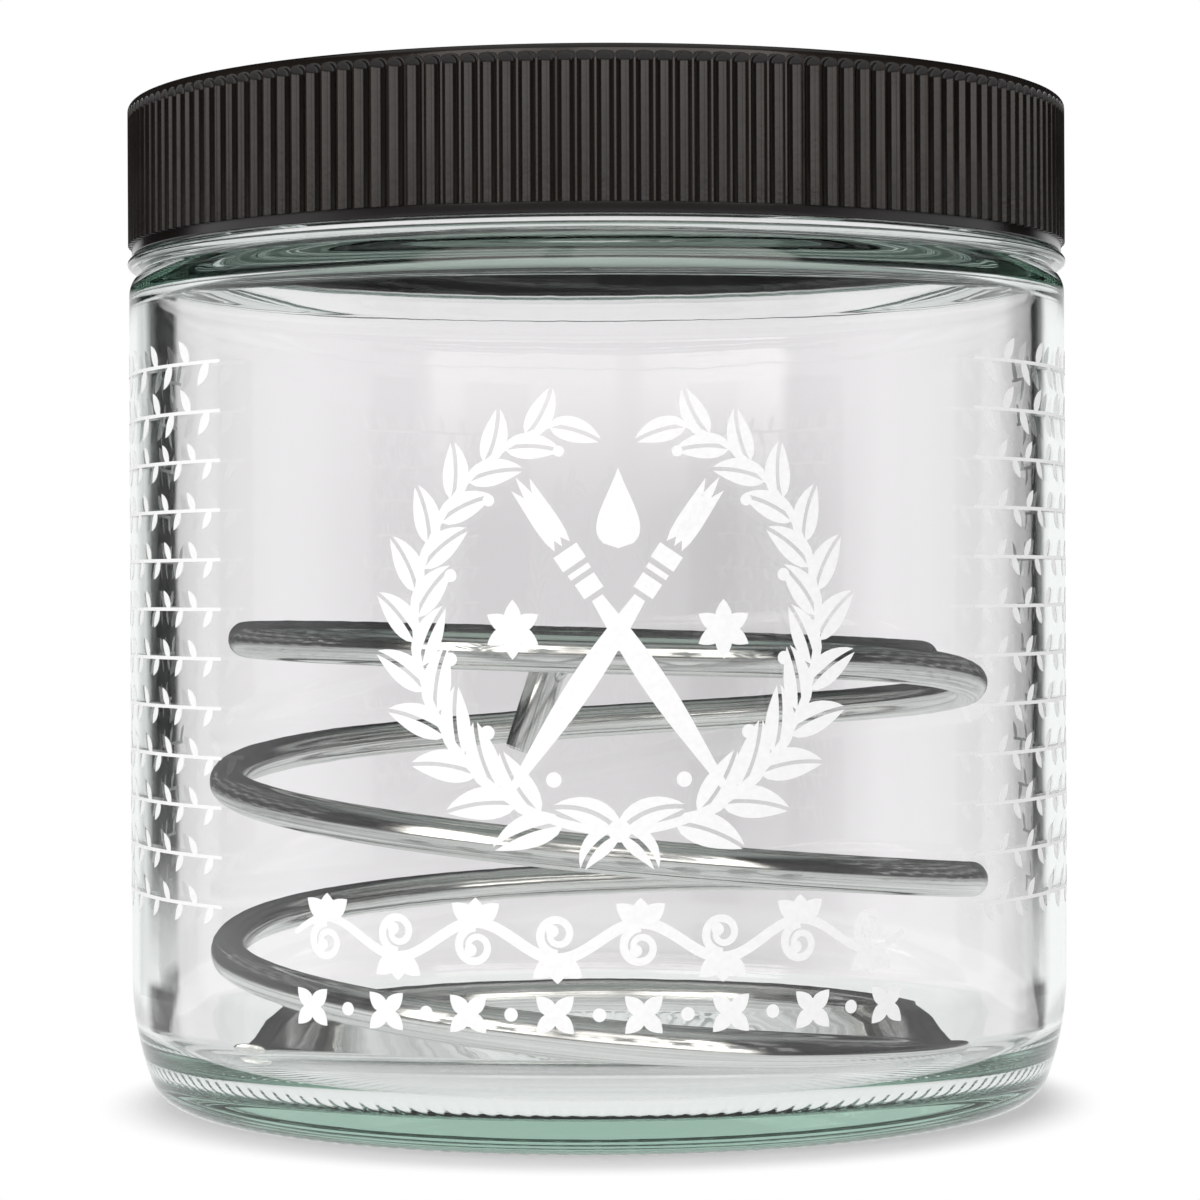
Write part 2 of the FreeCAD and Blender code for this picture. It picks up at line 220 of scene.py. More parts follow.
def makeJar():
    throatRun = (jar["inner"] - jar["mouthRadius"]) / 2
    throatBend = bendRadius(throatRun, jar["throatHeight"] / 2)
    throatMiddle = jar["throatTop"] - jar["throatHeight"] / 2
    throatFoot = jar["throatTop"] - jar["throatHeight"]
    floorRadius = jar["inner"] - jar["floorCorner"]
    rimLevel = jar["height"]
    neckTop = rimLevel - jar["rimOuter"]
    neckSteps = round((neckTop - jar["beadTop"]) / jar["neckStep"])
    beadSide = jar["beadRadius"] - jar["beadRound"]
    toeBend = bendRadius(jar["toeHeight"], jar["toeRadius"] - jar["ringOuter"])
    bm = bmesh.new()
    drawSection(bm, (0, jar["hollow"]), [
        (jar["ringInner"], 0, 10, -bendRadius(jar["hollow"], jar["ringInner"])),
        (jar["ringOuter"], 0, 5),
        (jar["toeRadius"], jar["toeHeight"], 7, toeBend),
        (jar["radius"], jar["heelHeight"], 8, heelRadius()),
        (jar["radius"], jar["heelHeight"] + guardRing, 1),
        (jar["radius"], jar["shoulderFoot"] - guardRing, 2),
        (jar["radius"], jar["shoulderFoot"], 1),
        (jar["grooveRadius"], jar["shoulderTop"], 8,
         bendRadius(jar["radius"] - jar["grooveRadius"], jar["shoulderTop"] - jar["shoulderFoot"])),
        (jar["grooveRadius"], jar["beadFoot"], 1),
        (beadSide, jar["beadFoot"], 1),
        (jar["beadRadius"], jar["beadFoot"] + jar["beadRound"], 4, jar["beadRound"]),
        (beadSide, jar["beadTop"], 4, jar["beadRound"]),
        (jar["neckRadius"], jar["beadTop"], 2),
        (jar["neckRadius"], neckTop, neckSteps),
        (jar["neckRadius"] - jar["rimOuter"], rimLevel, 4, jar["rimOuter"]),
        (jar["mouthRadius"] + jar["rimInner"], rimLevel, 1),
        (jar["mouthRadius"], rimLevel - jar["rimInner"], 4, jar["rimInner"]),
        (jar["mouthRadius"], rimLevel - jar["rimInner"] - guardRing, 1),
        (jar["mouthRadius"], jar["throatTop"] + guardRing, 1),
        (jar["mouthRadius"], jar["throatTop"], 1),
        (jar["mouthRadius"] + throatRun, throatMiddle, 8, throatBend),
        (jar["inner"], throatFoot, 8, -throatBend),
        (jar["inner"], throatFoot - guardRing, 1),
        (jar["inner"], jar["floor"] + jar["floorCorner"] + guardRing, 2),
        (jar["inner"], jar["floor"] + jar["floorCorner"], 1),
        (floorRadius, jar["floor"], 9, -jar["floorCorner"]),
        (0, jar["floor"] + jar["floorRise"], 8, bendRadius(jar["floorRise"], floorRadius)),
    ])
    turnSector(bm, jar["sectors"], jar["gripCount"] * jar["columnsPerGrip"] // jar["sectors"])
    copySector(bm, jar["sectors"])
    lowLevel = jar["toeHeight"] / 2
    for vert in bm.verts:
        radius = Vector((vert.co.x, vert.co.y)).length / mm
        level = vert.co.z / mm
        turn = math.atan2(vert.co.y, vert.co.x) / (2 * math.pi) % 1
        onNeck = abs(radius - jar["neckRadius"]) < mergeDistance / mm
        if onNeck and jar["beadTop"] < level <= neckTop:
            setRadius(vert, radius + jarThreadRise(turn, level))
        if jar["gripStart"] < radius < jar["gripEnd"] and level < lowLevel:
            # Short radial grooves let the hot jar slide and keep the base from sticking
            along = (radius - jar["gripStart"]) / (jar["gripEnd"] - jar["gripStart"])
            groove = max(math.sin(2 * math.pi * turn * jar["gripCount"] + math.pi / 4), 0)
            vert.co.z += jar["gripDepth"] * mm * groove * math.sin(math.pi * along)
    piece = finishPiece(
        bm, "glassJar", jarGlass, "jar", sharpDegrees=42, node="glass_jar"
    )
    piece.visible_diffuse = False  # clear glass lets soft light straight through to the matt pieces


makeJar()

# Black polypropylene from a satin mould: warm black, satin sheen, fine grain and rubbed crests
lidPlastic, tree = newMaterial("satinPolypropylene")
lidGrain = {
    "grain": 0.32, "mottle": 7, "depth": 0.03, "grainShare": 0.12,
    "crestStart": 45.7, "crestEnd": 45.95,
}
coords = addNode(tree, "TexCoord", {})
grain = addNode(tree, "TexNoise", {
    "Vector": coords["Object"], "Scale": 1 / (lidGrain["grain"] * mm), "Detail": 3,
})
mottle = addNode(tree, "TexNoise", {
    "Vector": coords["Object"], "Scale": 1 / (lidGrain["mottle"] * mm), "Detail": 4,
})
upright = addNode(tree, "Mapping", {"Vector": coords["Object"], "Scale": (1, 1, 0)})
outward = addNode(tree, "VectorMath", {"operation": "LENGTH", 0: upright["Vector"]})
crest = addNode(tree, "MapRange", {
    "Value": outward["Value"], "From Min": lidGrain["crestStart"] * mm,
    "From Max": lidGrain["crestEnd"] * mm,
})
crestWear = addNode(tree, "Math", {"operation": "MULTIPLY", 0: crest["Result"], 1: mottle["Fac"]})
shade = addNode(tree, "ValToRGB", {
    "Fac": crestWear[0], "stops": [(0, "#110d0b"), (0.8, "#221d1a")],
})
gloss = addNode(tree, "MapRange", {
    "Value": mottle["Fac"], "From Min": 0.3, "From Max": 0.7, "To Min": 0.11, "To Max": 0.17,
})
relief = addNode(tree, "Math", {
    "operation": "MULTIPLY_ADD", 0: grain["Fac"], 1: lidGrain["grainShare"], 2: mottle["Fac"],
})
finishMaterial(tree, relief[0], lidGrain["depth"], {
    "Base Color": shade["Color"], "Roughness": gloss["Result"], "IOR": 1.49,
})

lid = {
    "top": 96.9, "foot": 82.2, "panelFoot": 95.3, "corner": 0.7,
    "skirtRadius": 44.4, "valleyRadius": 45.5, "crestRadius": 45.95,
    "fluteTop": 96.15, "flatShare": 0.1, "fluteCount": 170, "fluteEndRun": 1,
    "columnsPerFlute": 10, "columnSlack": 0.01,
    "bandRadius": 45.58, "bandTop": 83.2, "footEase": 0.15,
    "gateRadius": 1.6, "gateDepth": 0.12,
    "threadRadius": 1.05, "threadFoot": 83.92, "threadTurns": 1, "threadLead": 0.25,
    "threadPitch": 5.08, "threadSteps": 160, "threadSegments": 16,
}


def fluteRadius(away, level):
    # Outside of the grip: round-bottomed flutes with ball ends at the top and flat crests between
    edge = (1 - lid["flatShare"]) * math.pi / lid["fluteCount"]
    depth = lid["crestRadius"] * math.cos(edge) - lid["valleyRadius"]
    ball = bendRadius(depth, lid["crestRadius"] * math.sin(edge))
    middle = lid["valleyRadius"] + ball
    endRise = math.sqrt(ball ** 2 - (middle - lid["crestRadius"]) ** 2)
    past = max(level - lid["fluteTop"] + endRise, 0)
    room = ball ** 2 - past ** 2 - (middle * math.sin(away)) ** 2
    if room <= 0:
        return lid["crestRadius"]
    return min(middle * math.cos(away) - math.sqrt(room), lid["crestRadius"])


def sweepRing(bm, path, radius, segments, ups):
    # A round bar along path, capped at both ends; returns its rings of vertices
    rings = []
    ring = bmesh.ops.create_circle(bm, segments=segments, radius=radius * mm)["verts"]
    home = Matrix.Identity(4)
    edges = list({edge for vert in ring for edge in vert.link_edges})
    for at, heading, up in zip(path, pathHeadings(path), ups):
        side = up.cross(heading).normalized()
        axes = Matrix((side, heading.cross(side), heading)).transposed().to_4x4()
        placed = Matrix.Translation(at * mm) @ axes
        if rings:
            made = bmesh.ops.extrude_edge_only(bm, edges=edges)["geom"]
            ring = [part for part in made if isinstance(part, bmesh.types.BMVert)]
            fresh = set(ring)
            edges = [
                part for part in made
                if isinstance(part, bmesh.types.BMEdge) and fresh.issuperset(part.verts)
            ]
        bmesh.ops.transform(bm, matrix=placed @ home.inverted(), verts=ring)
        home = placed
        rings.append(ring)
    for ends in (rings[0], rings[-1]):
        bmesh.ops.contextual_create(bm, geom=ends)
    return rings


def pathHeadings(path):
    ahead = path[1:] + [path[-1] * 2 - path[-2]]
    behind = [path[0] * 2 - path[1]] + path[:-1]
    return [(after - before).normalized() for before, after in zip(behind, ahead)]


def makeLid():
    ease = lid["footEase"]
    fluteHigh = lid["top"] - lid["corner"]
    fluteLow = fluteHigh - lid["fluteEndRun"]
    bm = bmesh.new()
    drawSection(bm, (0, lid["top"] - lid["gateDepth"]), [
        (lid["gateRadius"], lid["top"], 4, bendRadius(lid["gateDepth"], lid["gateRadius"])),
        (lid["gateRadius"] + guardRing, lid["top"], 1),
        (lid["crestRadius"] - lid["corner"] - guardRing, lid["top"], 3),
        (lid["crestRadius"] - lid["corner"], lid["top"], 1),
        (lid["crestRadius"], fluteHigh, 6, -lid["corner"]),
        (lid["crestRadius"], fluteLow, 14),
        (lid["crestRadius"], lid["bandTop"], 2),
        (lid["bandRadius"], lid["bandTop"], 2),
        (lid["bandRadius"], lid["foot"] + ease, 1),
        (lid["bandRadius"] - ease, lid["foot"], 3, -ease),
        (lid["skirtRadius"] + ease, lid["foot"], 1),
        (lid["skirtRadius"], lid["foot"] + ease, 3, -ease),
        (lid["skirtRadius"], lid["foot"] + ease + guardRing, 1),
        (lid["skirtRadius"], lid["panelFoot"], 2),
        (0, lid["panelFoot"], 3),
    ])
    turnSector(bm, lid["fluteCount"], lid["columnsPerFlute"])
    step = 2 * math.pi / lid["fluteCount"]
    inFlute = 1 - 2 / lid["columnsPerFlute"]
    spread = (1 - lid["flatShare"]) / inFlute
    for vert in bm.verts:
        # The columns spread until one stands on each edge of the flute
        radius = Vector((vert.co.x, vert.co.y)).length / mm
        level = vert.co.z / mm
        angle = math.atan2(vert.co.y, vert.co.x)
        away = (angle + step / 2) % step - step / 2
        if abs(away) < step / 2 * (inFlute + lid["columnSlack"]):
            shift = Matrix.Rotation(away * (spread - 1), 3, "Z")
            bmesh.ops.rotate(bm, cent=(0, 0, 0), matrix=shift, verts=[vert])
            away *= spread
        onWall = abs(radius - lid["crestRadius"]) < mergeDistance / mm
        if onWall and lid["bandTop"] <= level + mergeDistance / mm <= fluteHigh:
            setRadius(vert, fluteRadius(away, level))
    copySector(bm, lid["fluteCount"])
    path = []
    for stop in range(lid["threadSteps"] + 1):
        turn = lid["threadTurns"] * stop / lid["threadSteps"]
        angle = 2 * math.pi * (turn + lid["threadLead"])
        across = lid["skirtRadius"] * math.cos(angle)
        forward = lid["skirtRadius"] * math.sin(angle)
        path.append(Vector((across, forward, lid["threadFoot"] + lid["threadPitch"] * turn)))
    ups = [Vector((0, 0, 1))] * len(path)
    sweepRing(bm, path, lid["threadRadius"], lid["threadSegments"], ups)
    finishPiece(
        bm, "screwLid", lidPlastic, "lid", sharpDegrees=48, node="screw_lid"
    )


makeLid()

# Pressed pulp board: matt grey-brown with short fibres that lie one way
pulpBoard, tree = newMaterial("pressedPulpBoard")
pulp = {"fibre": (2.4, 0.3, 0.3), "depth": 0.03}
coords = addNode(tree, "TexCoord", {})
combed = addNode(tree, "Mapping", {
    "Vector": coords["Object"],
    "Scale": [1 / (size * mm) for size in pulp["fibre"]],
})
fibre = addNode(tree, "TexNoise", {
    "Vector": combed["Vector"], "Scale": 1, "Detail": 4, "Distortion": 1.2,
})
shade = addNode(tree, "ValToRGB", {
    "Fac": fibre["Fac"], "stops": [(0.3, "#a3937a"), (0.55, "#b9ab93"), (0.75, "#cfc3ae")],
})
finishMaterial(tree, fibre["Fac"], pulp["depth"], {"Base Color": shade["Color"], "Roughness": 0.9})

# Polyester facing film: smooth white with a green cast, dull in a ring where the rim has pressed it
linerFilm, tree = newMaterial("polyesterFilm")
film = {"mottle": 6, "pressStart": 40.9, "pressEnd": 42.4, "pressSoft": 0.3, "depth": 0.02}
coords = addNode(tree, "TexCoord", {})
flat = addNode(tree, "Mapping", {"Vector": coords["Object"], "Scale": (1, 1, 0)})
outward = addNode(tree, "VectorMath", {"operation": "LENGTH", 0: flat["Vector"]})
middle = (film["pressStart"] + film["pressEnd"]) / 2 * mm
away = addNode(tree, "Math", {"operation": "SUBTRACT", 0: outward["Value"], 1: middle})
gap = addNode(tree, "Math", {"operation": "ABSOLUTE", 0: away[0]})
halfPress = (film["pressEnd"] - film["pressStart"]) / 2 * mm
pressed = addNode(tree, "MapRange", {
    "Value": gap[0], "From Min": halfPress + film["pressSoft"] * mm, "From Max": halfPress,
})
mottle = addNode(tree, "TexNoise", {
    "Vector": coords["Object"], "Scale": 1 / (film["mottle"] * mm), "Detail": 3,
})
shade = addNode(tree, "ValToRGB", {
    "Fac": mottle["Fac"], "stops": [(0.3, "#d9ede3"), (0.7, "#e3f4ec")],
})
gloss = addNode(tree, "MapRange", {"Value": pressed["Result"], "To Min": 0.22, "To Max": 0.45})
finishMaterial(tree, pressed["Result"], film["depth"], {
    "Base Color": shade["Color"], "Roughness": gloss["Result"], "IOR": 1.57,
})

# A sheet of the liner is given by the level of its foot and its thickness
liner = {
    "radius": 44, "segments": 200, "edge": 0.06, "facing": (94.2, 0.2), "board": (94.4, 0.9),
}


def makeLinerDisc(name, foot, thickness, material, node, slot):
    # A die-cut disc with slightly eased edges
    bm = bmesh.new()
    disc = bmesh.ops.create_circle(
        bm, cap_ends=True, segments=liner["segments"], radius=liner["radius"] * mm
    )
    bmesh.ops.translate(bm, verts=disc["verts"], vec=(0, 0, foot * mm))
    raised = bmesh.ops.extrude_face_region(bm, geom=bm.faces[:])["geom"]
    upper = [part for part in raised if isinstance(part, bmesh.types.BMVert)]
    bmesh.ops.translate(bm, verts=upper, vec=(0, 0, thickness * mm))
    bmesh.ops.recalc_face_normals(bm, faces=bm.faces)
    corners = [
        edge for edge in bm.edges
        if abs(edge.verts[0].co.z - edge.verts[1].co.z) < mergeDistance
    ]
    bmesh.ops.bevel(
        bm, geom=corners, offset=liner["edge"] * mm, affect="EDGES", segments=2, profile=0.5,
        material=-1,
    )
    finishPiece(bm, name, material, "liner", sharpDegrees=40, node=node)


makeLinerDisc("linerFacing", *liner["facing"], linerFilm, "liner_facing", "liner_film")
makeLinerDisc("linerBoard", *liner["board"], pulpBoard, "liner_board", "pulp_board")

# Drawn aluminium wire: bright metal with die lines along it, which streak its highlights
coilMetal, tree = newMaterial("drawnAluminium")
drawn = {"line": (45, 0.22, 0.22), "scuff": (6, 0.5, 0.5), "scuffShare": 0.35, "depth": 0.011}
way = addNode(tree, "Attribute", {"attribute_name": "wireWay"})
lineWay = addNode(tree, "Mapping", {
    "Vector": way["Vector"],
    "Scale": [1 / (size * mm) for size in drawn["line"]],
})
lines = addNode(tree, "TexNoise", {"Vector": lineWay["Vector"], "Scale": 1, "Detail": 3})
scuffWay = addNode(tree, "Mapping", {
    "Vector": way["Vector"],
    "Scale": [1 / (size * mm) for size in drawn["scuff"]],
})
scuffs = addNode(tree, "TexNoise", {"Vector": scuffWay["Vector"], "Scale": 1, "Detail": 5})
shade = addNode(tree, "ValToRGB", {
    "Fac": lines["Fac"], "stops": [(0.3, "#b4b4b3"), (0.5, "#d9d9d8"), (0.7, "#ededec")],
})
gloss = addNode(tree, "MapRange", {
    "Value": scuffs["Fac"], "From Min": 0.3, "From Max": 0.7, "To Min": 0.09, "To Max": 0.2,
})
relief = addNode(tree, "Math", {
    "operation": "MULTIPLY_ADD", 0: scuffs["Fac"], 1: drawn["scuffShare"], 2: lines["Fac"],
})
finishMaterial(tree, relief[0], drawn["depth"], {
    "Base Color": shade["Color"], "Metallic": 1, "Roughness": gloss["Result"],
})

coil = {
    "wireRadius": 1.7, "radius": 36.6, "segments": 28, "stepsPerTurn": 96,
    "footLevel": 5.845, "footTurns": 0.47, "footInset": 2, "footSpreadTurns": 0.5,
    "riseTurns": 2.2, "rise": 38, "sag": 2.2, "leanDegrees": 1.9, "leanTurns": 0.6,
    "spiralStartTurns": 2.5, "spiralPitch": 5.09, "spiralTurns": 5.269,
    "tailBend": 4, "tailLength": 7.3, "tailLeanDegrees": 16, "tailSteps": 14,
    "easeShare": 0.05, "endChamfer": 0.28,
}


def eased(share):
    # Runs from 0 to 1 at a steady rate, with a soft start and a soft stop
    ease = coil["easeShare"]
    steady = 1 - ease
    share = min(max(share, 0), 1)
    if share < ease:
        return share ** 2 / (2 * ease * steady)
    if share > steady:
        return 1 - (1 - share) ** 2 / (2 * ease * steady)
    return (share - ease / 2) / steady


def coilCentre(turn):
    # Foot on the floor, rising left-handed turns, then a flat spiral wound inwards
    past = turn - coil["footTurns"]
    rise = eased(past / coil["riseTurns"])
    spread = eased(past / coil["footSpreadTurns"])
    lean = eased(past / coil["leanTurns"]) * math.tan(math.radians(coil["leanDegrees"]))
    inward = eased((turn - coil["spiralStartTurns"]) / coil["spiralTurns"])
    radius = coil["radius"] - coil["footInset"] * (1 - spread)
    radius -= coil["spiralPitch"] * coil["spiralTurns"] * inward
    angle = math.pi - 2 * math.pi * turn
    across = radius * math.cos(angle)
    sag = coil["sag"] * math.sin(math.pi * rise ** 2)
    level = coil["footLevel"] + coil["rise"] * rise - sag - across * lean
    return Vector((across, radius * math.sin(angle), level))


def coilPath():
    turns = coil["spiralStartTurns"] + coil["spiralTurns"]
    count = round(turns * coil["stepsPerTurn"])
    path = [coilCentre(turns * step / count) for step in range(count + 1)]
    start = path[-1]
    heading = (path[-1] - path[-2]).normalized()
    down = (heading * heading.z - Vector((0, 0, 1))).normalized()
    bendTurn = math.pi / 2 - math.radians(coil["tailLeanDegrees"])
    for step in range(1, coil["tailSteps"] + 1):
        angle = bendTurn * step / coil["tailSteps"]
        reach = heading * math.sin(angle) + down * (1 - math.cos(angle))
        path.append(start + reach * coil["tailBend"])
    leg = heading * math.cos(bendTurn) + down * math.sin(bendTurn)
    path.append(path[-1] + leg * coil["tailLength"])
    return path


def carriedUps(path):
    # An up direction for each point, carried along the wire so that it doesn't twist
    headings = pathHeadings(path)
    up = Vector((0, 0, 1))
    ups = []
    for heading in headings:
        up = (up - heading * up.dot(heading)).normalized()
        ups.append(up.copy())
    return ups


def makeCoil():
    path = coilPath()
    ups = carriedUps(path)
    bm = bmesh.new()
    wayLayer = bm.verts.layers.float_vector.new("wireWay")
    rings = sweepRing(bm, path, coil["wireRadius"], coil["segments"], ups)
    along = 0
    last = path[0]
    for ring, at, heading, up in zip(rings, path, pathHeadings(path), ups):
        along += (at - last).length * mm
        last = at
        side = up.cross(heading)
        for vert in ring:
            arm = vert.co - at * mm
            vert[wayLayer] = (along, arm.dot(side), arm.dot(up))
    caps = [face for face in bm.faces if len(face.verts) == coil["segments"]]
    capEdges = list({edge for face in caps for edge in face.edges})
    bmesh.ops.recalc_face_normals(bm, faces=bm.faces)
    bmesh.ops.bevel(
        bm, geom=capEdges, offset=coil["endChamfer"] * mm, affect="EDGES", segments=2, profile=0.5,
        material=-1,
    )
    finishPiece(
        bm, "wireCoil", coilMetal, "coil", sharpDegrees=50, node="wire_coil"
    )


makeCoil()

# White ceramic ink, screen printed and fired on: opaque, dead white, with a faint eggshell sheen
ceramicInk, tree = newMaterial("ceramicInk")
inkGrain = {"grain": 0.5, "depth": 0.006}
coords = addNode(tree, "TexCoord", {})
grain = addNode(tree, "TexNoise", {
    "Vector": coords["Object"], "Scale": 1 / (inkGrain["grain"] * mm), "Detail": 2,
})
shade = addNode(tree, "ValToRGB", {
    "Fac": grain["Fac"], "stops": [(0.3, "#f8f8f8"), (0.7, "#fefefe")],
})
finishMaterial(tree, grain["Fac"], inkGrain["depth"], {
    "Base Color": shade["Color"], "Roughness": 0.5,
})

inkFilm = {
    "clear": 0.012, "thickness": 0.035, "layerStep": 0.004, "discSegments": 20, "nudge": 0.001,
}


def inkRibbon(bm, line, halfWidth, steps, across=1, layer=0):
    # A flat stroke of ink: line gives its middle and halfWidth its width, from share 0 to 1
    grid = bmesh.ops.create_grid(bm, x_segments=steps, y_segments=across, size=0.5)
    for vert in grid["verts"]:
        share = vert.co.x + 0.5
        heading = line(share + inkFilm["nudge"]) - line(share - inkFilm["nudge"])
        across2d = Vector((-heading.y, heading.x)).normalized()
        flat = line(share) + across2d * halfWidth(share) * vert.co.y * 2
        vert.co = (flat.x, flat.y, inkFilm["clear"] + layer * inkFilm["layerStep"])


def straight(start, end, bow=0):
    # A line from start to end that bows to its left
    start = Vector(start)
    run = Vector(end) - start
    left = Vector((-run.y, run.x))
    return lambda share: start + run * share + left * bow * 4 * share * (1 - share)


def pointing(degrees):
    turn = math.radians(degrees)
    return Vector((math.cos(turn), math.sin(turn)))


def ringLine(centre, radius, first, last):
    return lambda share: Vector(centre) + pointing(first + (last - first) * share) * radius


leafShape = {"fullness": 0.8, "point": 0.85, "steps": 7, "halfSteps": 9, "nudge": 0.01}


def leafWidth(width):
    # Half the width from stalk to tip, fullest a little short of the middle
    def half(share):
        along = min(max(share, 0), 1) ** leafShape["fullness"]
        return width / 2 * math.sin(math.pi * along) ** leafShape["point"]
    return half


def inkLeaf(bm, start, degrees, length, width, bow=0, vein=0, layer=0):
    # A pointed leaf; a vein over 0 splits it into two halves
    end = Vector(start) + pointing(degrees) * length
    middle = straight(start, end, bow)
    wide = leafWidth(width)
    if not vein:
        inkRibbon(bm, middle, wide, leafShape["steps"], across=2, layer=layer)
        return
    nudge = leafShape["nudge"]
    for side in (1, -1):
        def half(share, side=side):
            heading = middle(share + nudge) - middle(share - nudge)
            left = Vector((-heading.y, heading.x)).normalized()
            return middle(share) + left * side * (vein / 2 + wide(share) / 2)
        inkRibbon(bm, half, lambda share: wide(share) / 2, leafShape["halfSteps"], layer=layer)


def inkDisc(bm, centre, radius, layer=0):
    disc = bmesh.ops.create_circle(
        bm, cap_ends=True, segments=inkFilm["discSegments"], radius=radius
    )
    place = Vector((centre[0], centre[1], inkFilm["clear"] + layer * inkFilm["layerStep"]))
    bmesh.ops.translate(bm, verts=disc["verts"], vec=place)


def inkFlower(bm, centre, petals, length, width, eye, layer):
    for petal in range(petals):
        inkLeaf(bm, centre, (petal + 0.5) * 360 / petals, length, width, layer=petal % 2)
    inkDisc(bm, centre, eye, layer)


def finishPrint(bm, name):
    # Gives the flat strokes their thickness, then wraps them round the jar
    bmesh.ops.remove_doubles(bm, verts=bm.verts, dist=mergeDistance / mm / 2)
    bmesh.ops.dissolve_degenerate(bm, dist=mergeDistance / mm / 2, edges=bm.edges[:])
    raised = bmesh.ops.extrude_face_region(bm, geom=bm.faces[:], use_keep_orig=True)["geom"]
    upper = [part for part in raised if isinstance(part, bmesh.types.BMVert)]
    bmesh.ops.translate(bm, verts=upper, vec=(0, 0, inkFilm["thickness"]))
    for vert in bm.verts:
        radius = jarOuterRadius(vert.co.y) + vert.co.z
        angle = vert.co.x / jar["radius"]
        vert.co = Vector((radius * math.sin(angle), -radius * math.cos(angle), vert.co.y)) * mm
    finishPiece(bm, name, ceramicInk, "jar", sharpDegrees=40)


emblem = {
    "centre": (1.8, 46.8), "wreathRadius": 18, "footGap": 6, "topGap": 15,
    "stemRoot": 0.408, "stemTaper": 0.204, "leafCount": 22, "firstLeaf": 1.4, "leafTaper": 0.32,
    "leafLength": 6.6, "leafWidth": 2.7, "leafLean": 36, "leafBow": 0.06, "vein": 0.34,
    "berry": 0.7, "berryInset": 3.4,
    "brushLength": 33, "brushLean": 34, "brushDrop": -0.6,
    "handleEnd": 0.6, "handleThin": 0.3, "handleSwell": 0.8,
    "swellStart": 0.05, "swellRun": 0.8, "swellPower": 1.5,
    "ferruleBands": ((0.615, 0.66, 1), (0.675, 0.69, 1.05), (0.705, 0.75, 1.2)),
    "hairStart": 0.762, "hairGap": 0.8, "hairLength": 0.22, "hairTrim": 0.03, "hairWidth": 1.2,
    "hairFan": 2, "hairBow": 0.07,
    "dropFoot": 6.4, "dropLength": 7, "dropWidth": 1.9, "dropPoint": 0.5, "dropRound": 1.1,
    "flowerReach": 9.2,
    "flower": {"petals": 6, "length": 2.6, "width": 1.5, "eye": 0.6, "layer": 3},
    "bowLoops": ((20, 6), (-46, 4.6)), "loopWidth": 2, "loopBow": 0.12, "loopSplit": 0.4, "knot": 1,
}


def handleWidth(share):
    # Thin at the end, fullest past the middle and drawn in again at the ferrule
    along = emblem["swellStart"] + emblem["swellRun"] * min(max(share, 0), 1)
    swell = math.sin(math.pi * along) ** emblem["swellPower"]
    return emblem["handleThin"] + emblem["handleSwell"] * swell


def inkBrush(bm, middle, degrees, layer):
    # A round brush drawn flat: pointed hair, banded ferrule, long tapering handle
    way = pointing(degrees)
    side = Vector((-way.y, way.x))

    def along(share):
        return Vector(middle) + way * emblem["brushLength"] * (share - 0.5)

    handle = straight(along(0), along(emblem["handleEnd"]))
    inkRibbon(bm, handle, handleWidth, steps=24, across=2, layer=layer)
    for first, last, wide in emblem["ferruleBands"]:
        band = straight(along(first), along(last))
        inkRibbon(bm, band, lambda share, wide=wide: wide, steps=2, across=2, layer=layer)
    for offset in (-emblem["hairGap"], 0, emblem["hairGap"]):
        length = emblem["hairLength"] - abs(offset) * emblem["hairTrim"]
        inkLeaf(
            bm, along(emblem["hairStart"]) + side * offset, degrees + offset * emblem["hairFan"],
            emblem["brushLength"] * length, emblem["hairWidth"], -offset * emblem["hairBow"],
            layer=layer,
        )


def dropWidth(share):
    # Round below and drawn out to a point above
    belly = math.sin(math.pi * min(max(share, 0), 1) ** emblem["dropPoint"])
    return emblem["dropWidth"] * max(belly, 0) ** emblem["dropRound"]


